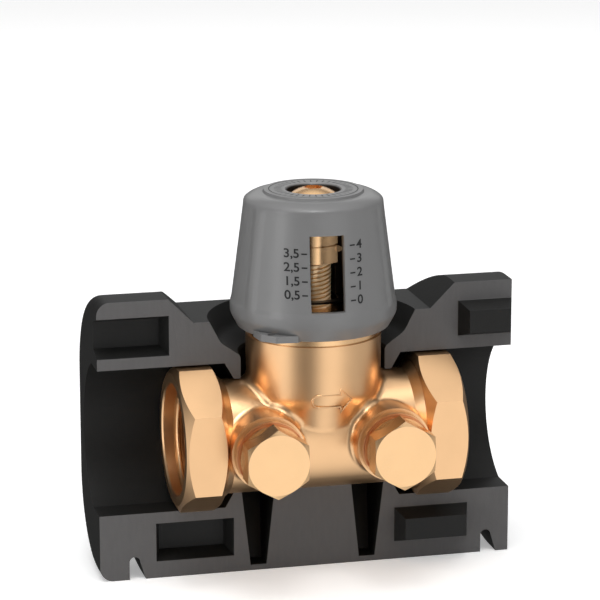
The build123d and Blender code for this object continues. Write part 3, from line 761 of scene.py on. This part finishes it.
class VALVE_OT_crown_print(bpy.types.Operator):
    """Prints the ring and plain tick marks on the crown"""

    bl_idname = "valve.crown_print"
    bl_label = "Crown print"

    def execute(self, context):
        sizes = context.scene.valve_dial
        bm = bmesh.new()
        inner = sizes.ring_radius - sizes.ring_width
        low = bm.verts.new((inner, 0, 0))
        high = bm.verts.new((sizes.ring_radius, 0, 0))
        line = bm.edges.new((low, high))
        bmesh.ops.spin(
            bm, geom=[low, high, line], cent=(0, 0, 0), axis=(0, 0, 1), angle=math.tau, steps=96,
            use_merge=True,
        )
        tick_length = sizes.crown_tick_end - sizes.crown_tick_start
        tick_middle = (sizes.crown_tick_start + sizes.crown_tick_end) / 2
        for index in range(sizes.crown_ticks):
            tick = bar_mesh(tick_length, sizes.ring_width, 1)
            bmesh.ops.translate(tick, verts=tick.verts, vec=(tick_middle, 0, 0))
            turn = Matrix.Rotation(math.tau * index / sizes.crown_ticks, 3, "Z")
            bmesh.ops.rotate(tick, verts=tick.verts, cent=(0, 0, 0), matrix=turn)
            join(bm, tick)
        bmesh.ops.recalc_face_normals(bm, faces=bm.faces)
        bmesh.ops.translate(bm, verts=bm.verts, vec=(STEM_X, 0, KNOB_HIGH.z + sizes.film))
        ink = bpy.data.materials["pad_print_ink"]
        finish_piece(bm, "crown_print", ink, "knob", smooth=False)
        return {"FINISHED"}


class VALVE_OT_flow_arrow(bpy.types.Operator):
    """Raises the outline of the flow arrow on the neck"""

    bl_idname = "valve.flow_arrow"
    bl_label = "Flow arrow"

    def execute(self, context):
        sizes = context.scene.valve_arrow
        half, head, shaft = sizes.arrow_length / 2, sizes.head_height / 2, sizes.shaft_height / 2
        head_x, tail_x, tail_steps = half - head, shaft - half, 8
        path = [(head_x, shaft), (head_x, head), (half, 0), (head_x, -head), (head_x, -shaft)]
        for step in range(tail_steps + 1):
            angle = math.pi * (1.5 - step / tail_steps)
            path.append((tail_x + shaft * math.cos(angle), shaft * math.sin(angle)))
        curve = bpy.data.curves.new("arrow", "CURVE")
        curve.dimensions = "3D"
        spline = curve.splines.new("POLY")
        spline.points.add(len(path) - 1)
        spline.use_cyclic_u = True
        for point, (x, z) in zip(spline.points, path):
            across = x + sizes.centre_x
            y = -math.sqrt(sizes.neck_radius**2 - across**2)
            point.co = (STEM_X + across, y, z + sizes.centre_z, 1)
        curve.bevel_depth = sizes.bead
        curve.bevel_resolution = 3
        material = bpy.data.materials["sand_blasted_forged_brass"]
        finish_piece(curve_to_bmesh(curve), "flow_arrow", material, "valve")
        return {"FINISHED"}


class VALVE_OT_stage(bpy.types.Operator):
    """Sets the pale floor, the soft lights and the camera"""

    bl_idname = "valve.stage"
    bl_label = "Stage"

    def execute(self, context):
        scene = context.scene
        self.make_floor(scene)
        self.make_lights(scene)
        self.make_world(scene)
        self.make_camera(scene)
        scene.view_settings.view_transform = "Standard"
        return {"FINISHED"}

    def make_floor(self, scene):
        # Matt white paper 12 m wide, lifted to white where the camera sees it. Metal looks through it to
        # the panels of the world.
        half_size, lift_strength = 6.0, 0.35
        material, tree, shader = new_material("white_studio_floor")
        shader.inputs["Base Color"].default_value = rgba(scene.valve_colours.floor)
        shader.inputs["Roughness"].default_value = 0.9
        shader.inputs["Emission Color"].default_value = (1, 1, 1, 1)
        path = add_node(tree, "ShaderNodeLightPath")
        lift = add_node(
            tree, "ShaderNodeMath", {"operation": "MULTIPLY"}, i0=path.outputs["Is Camera Ray"]
        )
        lift.inputs[1].default_value = lift_strength
        tree.links.new(lift.outputs["Value"], shader.inputs["Emission Strength"])
        clear = add_node(tree, "ShaderNodeBsdfTransparent")
        shown = add_node(tree, "ShaderNodeMixShader", Fac=path.outputs["Is Glossy Ray"])
        tree.links.new(shader.outputs["BSDF"], shown.inputs[1])
        tree.links.new(clear.outputs["BSDF"], shown.inputs[2])
        tree.links.new(shown.outputs["Shader"], tree.nodes["Material Output"].inputs["Surface"])
        bm = bmesh.new()
        bmesh.ops.create_grid(bm, x_segments=1, y_segments=1, size=half_size)
        bmesh.ops.translate(bm, verts=bm.verts, vec=(STEM_X, 0, FLOOR_Z))
        make_object(bm, "floor", material)

    def make_lights(self, scene):
        # Name, azimuth and elevation as seen from the valve, distance, width and height in metres, and
        # power in watts
        soft_boxes = [
            ("left_strip", -66, 20, 1.0, 0.30, 0.80, 1.7),
            ("right_box", 30, 30, 1.0, 0.60, 0.60, 0.7),
            ("top_box", -30, 74, 1.0, 0.80, 0.80, 2.8),
            ("crown_box", -9, 73, 1.0, 0.24, 0.24, 1.3),
            ("back_box", 166, 24, 1.0, 0.80, 0.40, 0.75),
            ("window_box", 56, -8, 0.35, 0.44, 0.16, 1.7),
        ]
        target = Vector((STEM_X, 0, 30 * MM))
        window_parts = bpy.data.collections.new("window_parts")
        window_parts.objects.link(frame["nodes"]["indicator_ring"])
        window_parts.objects.link(frame["nodes"]["drive_head"])
        window_parts.objects.link(bpy.data.objects["threaded_stem"])
        for name, azimuth, elevation, distance, width, height, power in soft_boxes:
            data = bpy.data.lights.new(name, "AREA")
            data.shape = "RECTANGLE"
            data.size, data.size_y = width, height
            data.energy = power
            lamp = self.stand_facing(scene, data, target, azimuth, elevation, distance)
            if name == "window_box":
                # The photograph shows what stands behind the window bright. This lamp lights only that,
                # past the knob that would shade it.
                lamp.light_linking.receiver_collection = window_parts
                lamp.light_linking.blocker_collection = window_parts

    def make_world(self, scene):
        # Soft panels round the valve, by azimuth in degrees from the front and brightness. The metal
        # mirrors them, and the dark gaps between them draw the forms.
        panels = [
            (-180, 0.08), (-122, 0.12), (-104, 1.1), (-60, 1.25), (-45, 0.42), (-32, 0.20), (-21, 0.20),
            (-9, 0.50), (4, 1.25), (28, 1.2), (44, 0.75), (70, 0.60), (96, 0.58), (112, 0.14), (180, 0.08),
        ]
        world = bpy.data.worlds.new("studio")
        world.use_nodes = True
        world.cycles.sampling_method = "NONE"
        tree = world.node_tree
        tree.nodes.clear()
        place = add_node(tree, "ShaderNodeTexCoord")
        axes = add_node(tree, "ShaderNodeSeparateXYZ", Vector=place.outputs["Generated"])
        ahead = add_node(tree, "ShaderNodeMath", {"operation": "MULTIPLY"}, i0=axes.outputs["Y"])
        ahead.inputs[1].default_value = -1
        azimuth = add_node(
            tree, "ShaderNodeMath", {"operation": "ARCTAN2"}, i0=axes.outputs["X"],
            i1=ahead.outputs["Value"],
        )
        around = add_node(
            tree, "ShaderNodeMapRange", {"From Min": -math.pi, "From Max": math.pi},
            Value=azimuth.outputs["Value"],
        )
        ring = add_node(tree, "ShaderNodeValToRGB", Fac=around.outputs["Result"])
        elements = ring.color_ramp.elements
        elements.remove(elements[1])
        for degrees, level in panels:
            element = elements.new((degrees + 180) / 360) if degrees > -180 else elements[0]
            element.color = (level, level, level, 1)
        # From Z, from and to which the sky changes, and its grey there: a dim band, then a bright top
        sky = ring
        for low, high, level in ((0.08, 0.30, 0.22), (0.60, 0.92, 1.0)):
            rise = add_node(
                tree, "ShaderNodeMapRange",
                {"interpolation_type": "SMOOTHSTEP", "From Min": low, "From Max": high},
                Value=axes.outputs["Z"],
            )
            sky = add_node(
                tree, "ShaderNodeMixRGB", {"Color2": (level, level, level, 1)}, Fac=rise.outputs["Result"],
                Color1=sky.outputs["Color"],
            )
        path = add_node(tree, "ShaderNodeLightPath")
        seen = add_node(
            tree, "ShaderNodeMixRGB", {"Color2": (1, 1, 1, 1)}, Fac=path.outputs["Is Camera Ray"],
            Color1=sky.outputs["Color"],
        )
        background = add_node(tree, "ShaderNodeBackground", Color=seen.outputs["Color"])
        add_node(tree, "ShaderNodeOutputWorld", Surface=background.outputs["Background"])
        scene.world = world

    def make_camera(self, scene):
        # The photograph looks from 14 degrees left of the front and 14 degrees up, with a long lens.
        focal_pixels, image_pixels, sensor = 3060, 600, 36
        data = bpy.data.cameras.new("camera")
        data.sensor_width = sensor
        data.lens = focal_pixels / image_pixels * sensor
        data.clip_start, data.clip_end = 0.05, 20
        target = Vector((STEM_X - 4 * MM, 0, 40 * MM))
        scene.camera = self.stand_facing(scene, data, target, -14, 14, 0.9)

    def stand_facing(self, scene, data, target, azimuth, elevation, distance):
        """Stands a lamp or the camera off its target by degrees right of the front and up, facing it."""
        turn, rise = math.radians(azimuth), math.radians(elevation)
        back = Vector((
            math.sin(turn) * math.cos(rise), -math.cos(turn) * math.cos(rise), math.sin(rise)
        ))
        thing = bpy.data.objects.new(data.name, data)
        thing.location = target + back * distance
        thing.rotation_mode = "QUATERNION"
        thing.rotation_quaternion = (-back).to_track_quat("-Z", "Y")
        scene.collection.objects.link(thing)
        return thing


class VALVE_PT_panel(bpy.types.Panel):
    """Lists the steps that dress the valve"""

    bl_idname = "VALVE_PT_panel"
    bl_label = "Regulating valve"
    bl_space_type = "VIEW_3D"
    bl_region_type = "UI"
    bl_category = "Valve"

    def draw(self, context):
        for operator in OPERATORS:
            self.layout.operator(operator.bl_idname)


GROUPS = {
    "valve_pipe_thread": PipeThreadSizes,
    "valve_stem_thread": StemThreadSizes,
    "valve_dial": DialSizes,
    "valve_grip": GripSizes,
    "valve_arrow": ArrowSizes,
    "valve_colours": FinishColours,
}
OPERATORS = [
    VALVE_OT_finishes,
    VALVE_OT_pipe_threads,
    VALVE_OT_stem_thread,
    VALVE_OT_knob_grip,
    VALVE_OT_scale,
    VALVE_OT_crown_print,
    VALVE_OT_flow_arrow,
    VALVE_OT_stage,
]


def register():
    for group in GROUPS.values():
        bpy.utils.register_class(group)
    for name, group in GROUPS.items():
        setattr(bpy.types.Scene, name, bpy.props.PointerProperty(type=group))
    for operator in OPERATORS:
        bpy.utils.register_class(operator)
    bpy.utils.register_class(VALVE_PT_panel)


def unregister():
    bpy.utils.unregister_class(VALVE_PT_panel)
    for operator in reversed(OPERATORS):
        bpy.utils.unregister_class(operator)
    for name in GROUPS:
        delattr(bpy.types.Scene, name)
    for group in reversed(GROUPS.values()):
        bpy.utils.unregister_class(group)


def main():
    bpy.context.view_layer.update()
    register()
    for operator in OPERATORS:
        group, action = operator.bl_idname.split(".")
        getattr(getattr(bpy.ops, group), action)()


if __name__ == "__main__":
    main()
